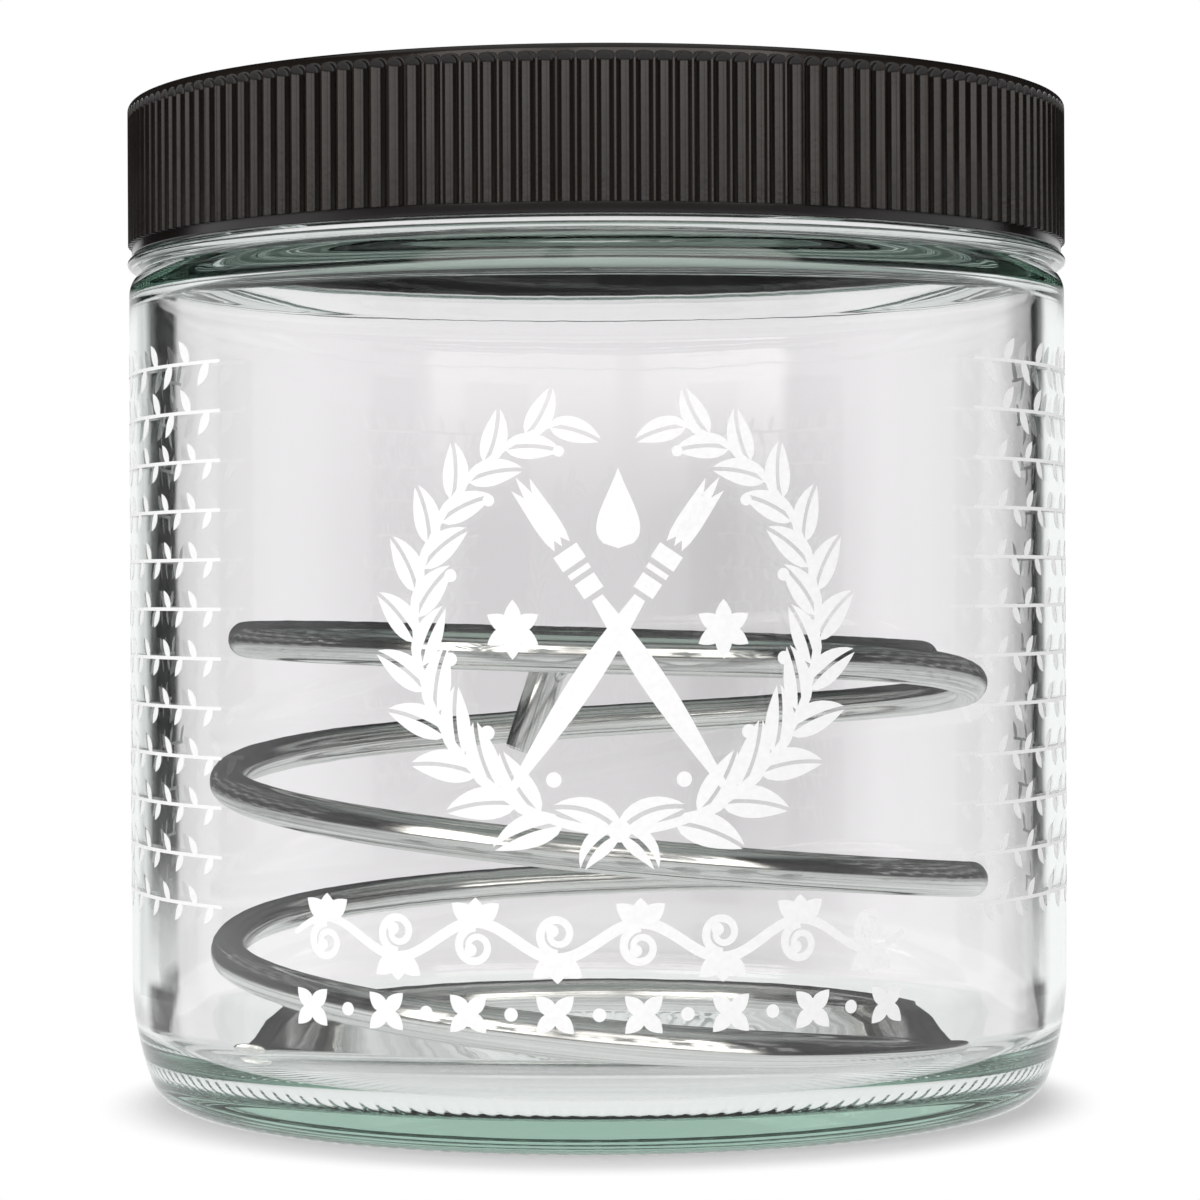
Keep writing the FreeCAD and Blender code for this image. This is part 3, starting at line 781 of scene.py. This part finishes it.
def makeEmblem():
    bm = bmesh.new()
    centre = Vector(emblem["centre"])
    radius = emblem["wreathRadius"]
    for side in (1, -1):
        first = -90 + side * emblem["footGap"]
        last = -90 + side * (180 - emblem["topGap"])
        stem = ringLine(centre, radius, first, last)
        inkRibbon(
            bm, stem, lambda share: emblem["stemRoot"] - emblem["stemTaper"] * share,
            steps=60, layer=2,
        )
        for leaf in range(emblem["leafCount"]):
            # Leaves stand in turn outside and inside the stem, and get smaller towards the tip
            share = (leaf + emblem["firstLeaf"]) / (emblem["leafCount"] + 1)
            at = stem(share)
            outward = math.degrees(math.atan2(at.y - centre.y, at.x - centre.x))
            size = 1 - emblem["leafTaper"] * share
            turn = -side if leaf % 2 else side
            inkLeaf(
                bm, at, outward + 90 * side - emblem["leafLean"] * turn,
                emblem["leafLength"] * size, emblem["leafWidth"] * size,
                emblem["leafBow"] * turn, emblem["vein"], leaf % 2,
            )
            if leaf % 4 == 1:
                reach = radius - emblem["berryInset"] * size
                berryAt = centre + (at - centre).normalized() * reach
                inkDisc(bm, berryAt, emblem["berry"] * size, layer=3)
    for lean, layer in ((emblem["brushLean"], 4), (-emblem["brushLean"], 6)):
        inkBrush(bm, centre + Vector((0, emblem["brushDrop"])), 90 + lean, layer)
    # A paint drop over the brushes and a small flower at each side of them
    drop = centre + Vector((0, emblem["dropFoot"]))
    dropLine = straight(drop, drop + Vector((0, emblem["dropLength"])))
    inkRibbon(bm, dropLine, dropWidth, steps=16, across=4, layer=5)
    for side in (1, -1):
        flower = centre + Vector((side * emblem["flowerReach"], emblem["brushDrop"]))
        inkFlower(bm, flower, **emblem["flower"])
    # A ribbon bow ties the stems at the foot
    knot = centre + Vector((0, -radius))
    for side in (1, -1):
        for lean, long in emblem["bowLoops"]:
            degrees = lean if side > 0 else 180 - lean
            inkLeaf(
                bm, knot, degrees, long, emblem["loopWidth"], emblem["loopBow"] * side,
                emblem["loopSplit"], layer=8,
            )
    inkDisc(bm, knot, emblem["knot"], layer=9)
    finishPrint(bm, "printEmblem")


makeEmblem()

vine = {
    "level": 19.3, "halfLength": 28.8, "waves": 4, "sway": 1.55,
    "stem": 0.5, "stemTip": 0.4, "stemFullness": 0.4,
    "leafLength": 2.7, "leafWidth": 1.7, "leafLean": 52, "midLeafShare": 0.8,
    "curlTurns": 1.35, "curlDrop": 0.55, "curlStart": 1.705, "curlShrink": 1.1625,
    "curlStroke": 0.396, "curlThin": 0.144, "curlEye": 0.55,
    "beadLevel": 12.9, "beadCount": 15, "bead": 0.6,
    "flower": {"petals": 4, "length": 2.3, "width": 1.4, "eye": 0.5, "layer": 2},
}


def makeVineBand():
    # A running scroll with a curl in each bay and leaves over it, and a row of small flowers below
    bm = bmesh.new()
    span = vine["halfLength"] * 2

    def stem(share):
        sway = vine["sway"] * math.sin(2 * math.pi * vine["waves"] * share)
        return Vector((span * (share - 0.5), vine["level"] + sway))

    def stemWidth(share):
        full = math.sin(math.pi * share) ** vine["stemFullness"]
        return vine["stem"] * (vine["stemTip"] + (1 - vine["stemTip"]) * full)

    inkRibbon(bm, stem, stemWidth, steps=140, layer=2)
    bays = vine["waves"] * 2
    for bay in range(bays):
        side = -1 if bay % 2 else 1
        crest = stem((bay + 0.5) / bays)
        curlAt = Vector((crest.x, vine["level"] - side * vine["curlDrop"]))

        def curl(share):
            reach = vine["curlStart"] - vine["curlShrink"] * share
            return curlAt + pointing((90 + 360 * vine["curlTurns"] * share) * side) * reach

        inkRibbon(
            bm, curl, lambda share: vine["curlStroke"] - vine["curlThin"] * share,
            steps=34, layer=3 + bay % 2,
        )
        inkDisc(bm, curl(1), vine["curlEye"], layer=6)
        for lean in (-vine["leafLean"], 0, vine["leafLean"]):
            length = vine["leafLength"] * (1 if lean else vine["midLeafShare"])
            degrees = (90 + lean) * side
            inkLeaf(bm, crest, degrees, length, vine["leafWidth"], layer=6 if lean else 5)
    for bead in range(vine["beadCount"]):
        place = (bead + 0.5) / vine["beadCount"] - 0.5
        at = Vector((span * place, vine["beadLevel"]))
        if bead % 2:
            inkDisc(bm, at, vine["bead"])
        else:
            inkFlower(bm, at, **vine["flower"])
    finishPrint(bm, "printVineBand")


makeVineBand()

sprigs = {
    "rows": 12, "topLevel": 70.5, "footLevel": 21,
    "firstDegrees": 48, "lastDegrees": 100, "trimDegrees": 7, "boldRows": 2, "bold": 1.25,
    "stem": 0.16, "stemSteps": 56,
    "leafLength": 2.3, "leafWidth": 1.05, "leafPitch": 2.6, "leafLean": 48,
}


def makeSprigPanel(name, side):
    # Rows of small sprigs down the flank of the jar, uneven in length as a set of lines is
    bm = bmesh.new()
    fall = sprigs["footLevel"] - sprigs["topLevel"]
    for row in range(sprigs["rows"]):
        level = sprigs["topLevel"] + fall * row / (sprigs["rows"] - 1)
        trim = sprigs["trimDegrees"] * (row % 4) / 3
        first = math.radians(sprigs["firstDegrees"]) * jar["radius"]
        last = math.radians(sprigs["lastDegrees"] - trim) * jar["radius"]
        bold = sprigs["bold"] if row < sprigs["boldRows"] else 1
        ends = (Vector((side * first, level)), Vector((side * last, level)))
        inkRibbon(
            bm, straight(*ends), lambda share: sprigs["stem"], sprigs["stemSteps"], layer=2
        )
        count = int((last - first) / (sprigs["leafPitch"] * bold))
        for leaf in range(count):
            at = ends[0].lerp(ends[1], (leaf + 0.5) / count)
            lean = sprigs["leafLean"] if leaf % 2 else -sprigs["leafLean"]
            degrees = lean if side > 0 else 180 - lean
            inkLeaf(
                bm, at, degrees, sprigs["leafLength"] * bold, sprigs["leafWidth"] * bold,
                layer=leaf % 2,
            )
    finishPrint(bm, name)


makeSprigPanel("printSprigsLeft", -1)
makeSprigPanel("printSprigsRight", 1)

# Pale table top: takes the shadow, and shows white to the eye and in the glass
studio = {
    "floorRadius": 108, "fadeStart": 41.5, "fadeEnd": 49, "fadeForward": 4, "floorShade": "#e4e4e4",
    "floorGlow": 0.04, "floorThrough": 0.95, "floorMirrored": 0.9,
    "fill": 0.8, "boxTint": "#fff9f4", "boxAim": 50,
    "topPlace": (-80, -100, 600), "topEnergy": 0.8, "topSize": 520,
    "frontPlace": (-330, -620, 260), "frontEnergy": 1.4, "frontSize": 420,
    "somePass": 0.5, "oneWallPass": 1.5, "bothWallsPass": 3.5, "passReach": 0.6,
}


def makeFloor():
    material, tree = newMaterial("paleTableTop")
    path = addNode(tree, "LightPath", {})
    coords = addNode(tree, "TexCoord", {})
    forward = addNode(tree, "Mapping", {
        "Vector": coords["Object"], "Location": (0, studio["fadeForward"] * mm, 0),
    })
    outward = addNode(tree, "VectorMath", {"operation": "LENGTH", 0: forward["Vector"]})
    far = addNode(tree, "MapRange", {
        "Value": outward["Value"], "From Min": studio["fadeStart"] * mm,
        "From Max": studio["fadeEnd"] * mm, "interpolation_type": "SMOOTHSTEP",
    })
    glowLevel = addNode(tree, "Math", {
        "operation": "MULTIPLY", 0: path["Is Camera Ray"], 1: studio["floorGlow"],
    })
    surface = addNode(tree, "BsdfDiffuse", {"Color": linearColour(studio["floorShade"])})
    glow = addNode(tree, "Emission", {"Strength": glowLevel[0]})
    lit = addNode(tree, "AddShader", {0: surface[0], 1: glow[0]})
    white = addNode(tree, "Emission", {"Strength": 1})
    away = addNode(tree, "Math", {
        "operation": "MULTIPLY", 0: far["Result"], 1: path["Is Camera Ray"],
    })
    direct = addNode(tree, "MixShader", {0: away[0], 1: lit[0], 2: white[0]})
    through = addNode(tree, "Emission", {"Strength": studio["floorThrough"]})
    mirrored = addNode(tree, "Emission", {"Strength": studio["floorMirrored"]})
    glassy = addNode(tree, "MixShader", {
        0: path["Is Transmission Ray"], 1: direct[0], 2: through[0],
    })
    whole = addNode(tree, "MixShader", {0: path["Is Glossy Ray"], 1: glassy[0], 2: mirrored[0]})
    addNode(tree, "OutputMaterial", {"Surface": whole[0]})
    bm = bmesh.new()
    bmesh.ops.create_circle(bm, cap_ends=True, segments=96, radius=studio["floorRadius"] * mm)
    mesh = bpy.data.meshes.new("tableTop")
    bm.to_mesh(mesh)
    bm.free()
    mesh.materials.append(material)
    table = bpy.data.objects.new("tableTop", mesh)
    scene.collection.objects.link(table)


makeFloor()


def makeStudio():
    # White round about for the eye; through glass it is white with a grey card and black flags,
    # and polished surfaces see the soft boxes and the dark room between them
    world = bpy.data.worlds.new("studio")
    scene.world = world
    world.use_nodes = True
    tree = world.node_tree
    tree.nodes.clear()
    path = addNode(tree, "LightPath", {})
    coords = addNode(tree, "TexCoord", {})
    way = addNode(tree, "SeparateXYZ", {0: coords["Generated"]})
    bearing = addNode(tree, "Math", {"operation": "ARCTAN2", 0: way["X"], 1: way["Y"]})
    quarter = math.pi / 4
    folded = addNode(tree, "Math", {"operation": "WRAP", 0: bearing[0], 1: quarter, 2: -quarter})
    shares = {}
    for key, value, reach in (
        ("folded", folded[0], quarter),
        ("round", bearing[0], math.pi),
        ("up", way["Z"], 1),
    ):
        share = addNode(tree, "MapRange", {"Value": value, "From Min": -reach, "From Max": reach})
        shares[key] = share[0]
    reaches = {"folded": 45, "round": 180, "up": 1}
    ramps = {}
    for name, (key, points) in {
        # What stands behind the jar: a grey card in the middle, black flags at the sides
        "card": ("folded", [
            (-7.5, 1), (-5, 0.9), (-3, 0.82), (0.5, 0.79), (2.6, 0.7), (4.2, 0.77), (6.8, 1),
        ]),
        "cardUp": ("up", [(-0.1, 0.6), (-0.04, 1), (0.02, 1), (0.055, 0.3), (0.09, 0.2)]),
        "flags": ("folded", [
            (-38, 1), (-36, 0.01), (-19.5, 0.01), (-18, 1),
            (24, 1), (26, 0.01), (38, 0.01), (40, 1),
        ]),
        "flagsUp": ("up", [(-0.105, 0), (-0.07, 1), (0.1, 1), (0.16, 0)]),
        # What light that only turns about inside the wall comes from
        "edge": ("folded", [(-36, 0.02), (-30, 1), (34, 1), (38, 0.02)]),
        "edgeFront": ("round", [(-72, 0.1), (-58, 1), (58, 1), (72, 0.1)]),
        # The soft boxes: boxRound as the wire mirrors them in the jar, lidRound as the outside does
        "boxRound": ("round", [
            (-180, 2.2), (-176, 2.3), (-173, 1.1), (-169, 1.1), (-166, 2.4), (-150, 3.6),
            (-128, 4.2), (-123, 0), (130, 0), (134, 2.8), (160, 2.3), (180, 2.2),
        ]),
        "lidRound": ("round", [
            (-180, 2.2), (-176, 2.3), (-173, 1.1), (-169, 1.1), (-166, 2.2), (-150, 2.3),
            (-139, 1.7), (-134, 0), (130, 0), (134, 2.4), (160, 2.2), (180, 2.2),
        ]),
        "boxUp": ("up", [(0.094, 0), (0.106, 1), (0.66, 1), (0.78, 0)]),
        "boxUpInside": ("up", [(0.02, 0), (0.06, 1), (0.66, 1), (0.78, 0)]),
        # A white surround with dark flags, which only the outside mirrors
        "backRound": ("round", [
            (-180, 0.35), (-125, 0.35), (-108, 0.95), (-72, 0.95), (-62, 0), (-34, 0), (-26, 0.95),
            (36, 0.95), (48, 0), (62, 0), (72, 0.85), (108, 0.85), (125, 0.35),
        ]),
        "backUp": ("up", [(-0.2, 1), (0.07, 1), (0.1, 0)]),
        "room": ("up", [
            (-1, 0.8), (-0.14, 0.75), (-0.04, 0.02), (0.76, 0.02), (0.88, 0.5), (1, 0.5),
        ]),
    }.items():
        reach = reaches[key]
        stops = [((at + reach) / (2 * reach), shade) for at, shade in points]
        ramp = addNode(tree, "ValToRGB", {"Fac": shares[key], "stops": stops})
        ramps[name] = ramp["Color"]
    white = linearColour("#ffffff")
    # Passes through glass tell the cases apart: none, in and out of one wall, or through both walls
    passes = path["Transmission Depth"]
    outside = addNode(tree, "Math", {"operation": "LESS_THAN", 0: passes, 1: studio["somePass"]})
    oneWall = addNode(tree, "Math", {
        "operation": "COMPARE", 0: passes, 1: studio["oneWallPass"], 2: studio["passReach"],
    })
    bothWalls = addNode(tree, "Math", {
        "operation": "COMPARE", 0: passes, 1: studio["bothWallsPass"], 2: studio["passReach"],
    })
    turned = addNode(tree, "Math", {
        "operation": "GREATER_THAN", 0: path["Glossy Depth"], 1: studio["somePass"],
    })
    inside = addNode(tree, "Math", {"operation": "MULTIPLY", 0: bothWalls[0], 1: turned[0]})
    bounced = addNode(tree, "Math", {"operation": "MAXIMUM", 0: outside[0], 1: inside[0]})
    colours = {
        **ramps, "white": white, "cool": linearColour("#fffafd"),
        "warm": linearColour(studio["boxTint"]),
    }
    mixA, mixB, mixed = 6, 7, 2  # the sockets of a Mix node that hold colours
    for name, blend, factor, first, second in (
        ("backCard", "MIX", ramps["cardUp"], "white", "card"),
        ("coolCard", "MULTIPLY", 1, "backCard", "cool"),
        ("through", "MULTIPLY", ramps["flagsUp"], "coolCard", "flags"),
        ("edgeFlags", "MULTIPLY", 1, "edge", "edgeFront"),
        ("inWall", "MIX", ramps["flagsUp"], "white", "edgeFlags"),
        ("boxHeight", "MIX", outside[0], "boxUpInside", "boxUp"),
        ("boxWidth", "MIX", outside[0], "boxRound", "lidRound"),
        ("warmBox", "MULTIPLY", 1, "boxWidth", "warm"),
        ("box", "MULTIPLY", 1, "warmBox", "boxHeight"),
        ("back", "MULTIPLY", 1, "backRound", "backUp"),
        ("lights", "LIGHTEN", outside[0], "box", "back"),
        ("mirrored", "LIGHTEN", 1, "lights", "room"),
        ("clear", "MIX", oneWall[0], "through", "inWall"),
        ("seen", "MIX", bounced[0], "clear", "mirrored"),
    ):
        colours[name] = addNode(tree, "Mix", {
            "data_type": "RGBA", "blend_type": blend, "Factor": factor,
            mixA: colours[first], mixB: colours[second],
        })[mixed]
    sharp = addNode(tree, "Math", {
        "operation": "MAXIMUM", 0: path["Is Glossy Ray"], 1: path["Is Transmission Ray"],
    })
    fill = addNode(tree, "Background", {"Color": white, "Strength": studio["fill"]})
    shown = addNode(tree, "Background", {"Color": colours["seen"], "Strength": 1})
    backdrop = addNode(tree, "Background", {"Color": white, "Strength": 1})
    lit = addNode(tree, "MixShader", {0: sharp[0], 1: fill[0], 2: shown[0]})
    whole = addNode(tree, "MixShader", {0: path["Is Camera Ray"], 1: lit[0], 2: backdrop[0]})
    addNode(tree, "OutputWorld", {"Surface": whole[0]})
    world.cycles.sampling_method = "NONE"  # an even fill needs no map, and passes the clear wall


makeStudio()


def addSoftbox(name, place, energy, size):
    # Soft boxes light the matt surfaces; the world draws the ones that polished pieces mirror
    lamp = bpy.data.lights.new(name, "AREA")
    lamp.shape = "SQUARE"
    lamp.size = size * mm
    lamp.energy = energy
    box = bpy.data.objects.new(name, lamp)
    box.location = Vector(place) * mm
    aim = Vector((0, 0, studio["boxAim"])) * mm - box.location
    box.rotation_euler = aim.to_track_quat("-Z", "Y").to_euler()
    box.visible_glossy = False
    box.visible_transmission = False
    scene.collection.objects.link(box)


addSoftbox("topBox", studio["topPlace"], studio["topEnergy"], studio["topSize"])
addSoftbox("frontBox", studio["frontPlace"], studio["frontEnergy"], studio["frontSize"])

view = {
    "distance": 358.8, "across": 0.2, "height": 49.6, "lens": 108.8, "sensor": 36,
    "downDegrees": 0.158, "rollDegrees": 0.25, "nearClip": 10,
}


def addCamera():
    lens = bpy.data.cameras.new("camera")
    lens.lens = view["lens"]
    lens.sensor_width = view["sensor"]
    lens.clip_start = view["nearClip"] * mm
    camera = bpy.data.objects.new("camera", lens)
    tilt = Matrix.Rotation(math.radians(90 - view["downDegrees"]), 4, "X")
    roll = Matrix.Rotation(math.radians(-view["rollDegrees"]), 4, "Z")
    place = Vector((view["across"], -view["distance"], view["height"])) * mm
    camera.matrix_world = Matrix.Translation(place) @ tilt @ roll
    scene.collection.objects.link(camera)
    scene.camera = camera


addCamera()
print("studio and camera placed")
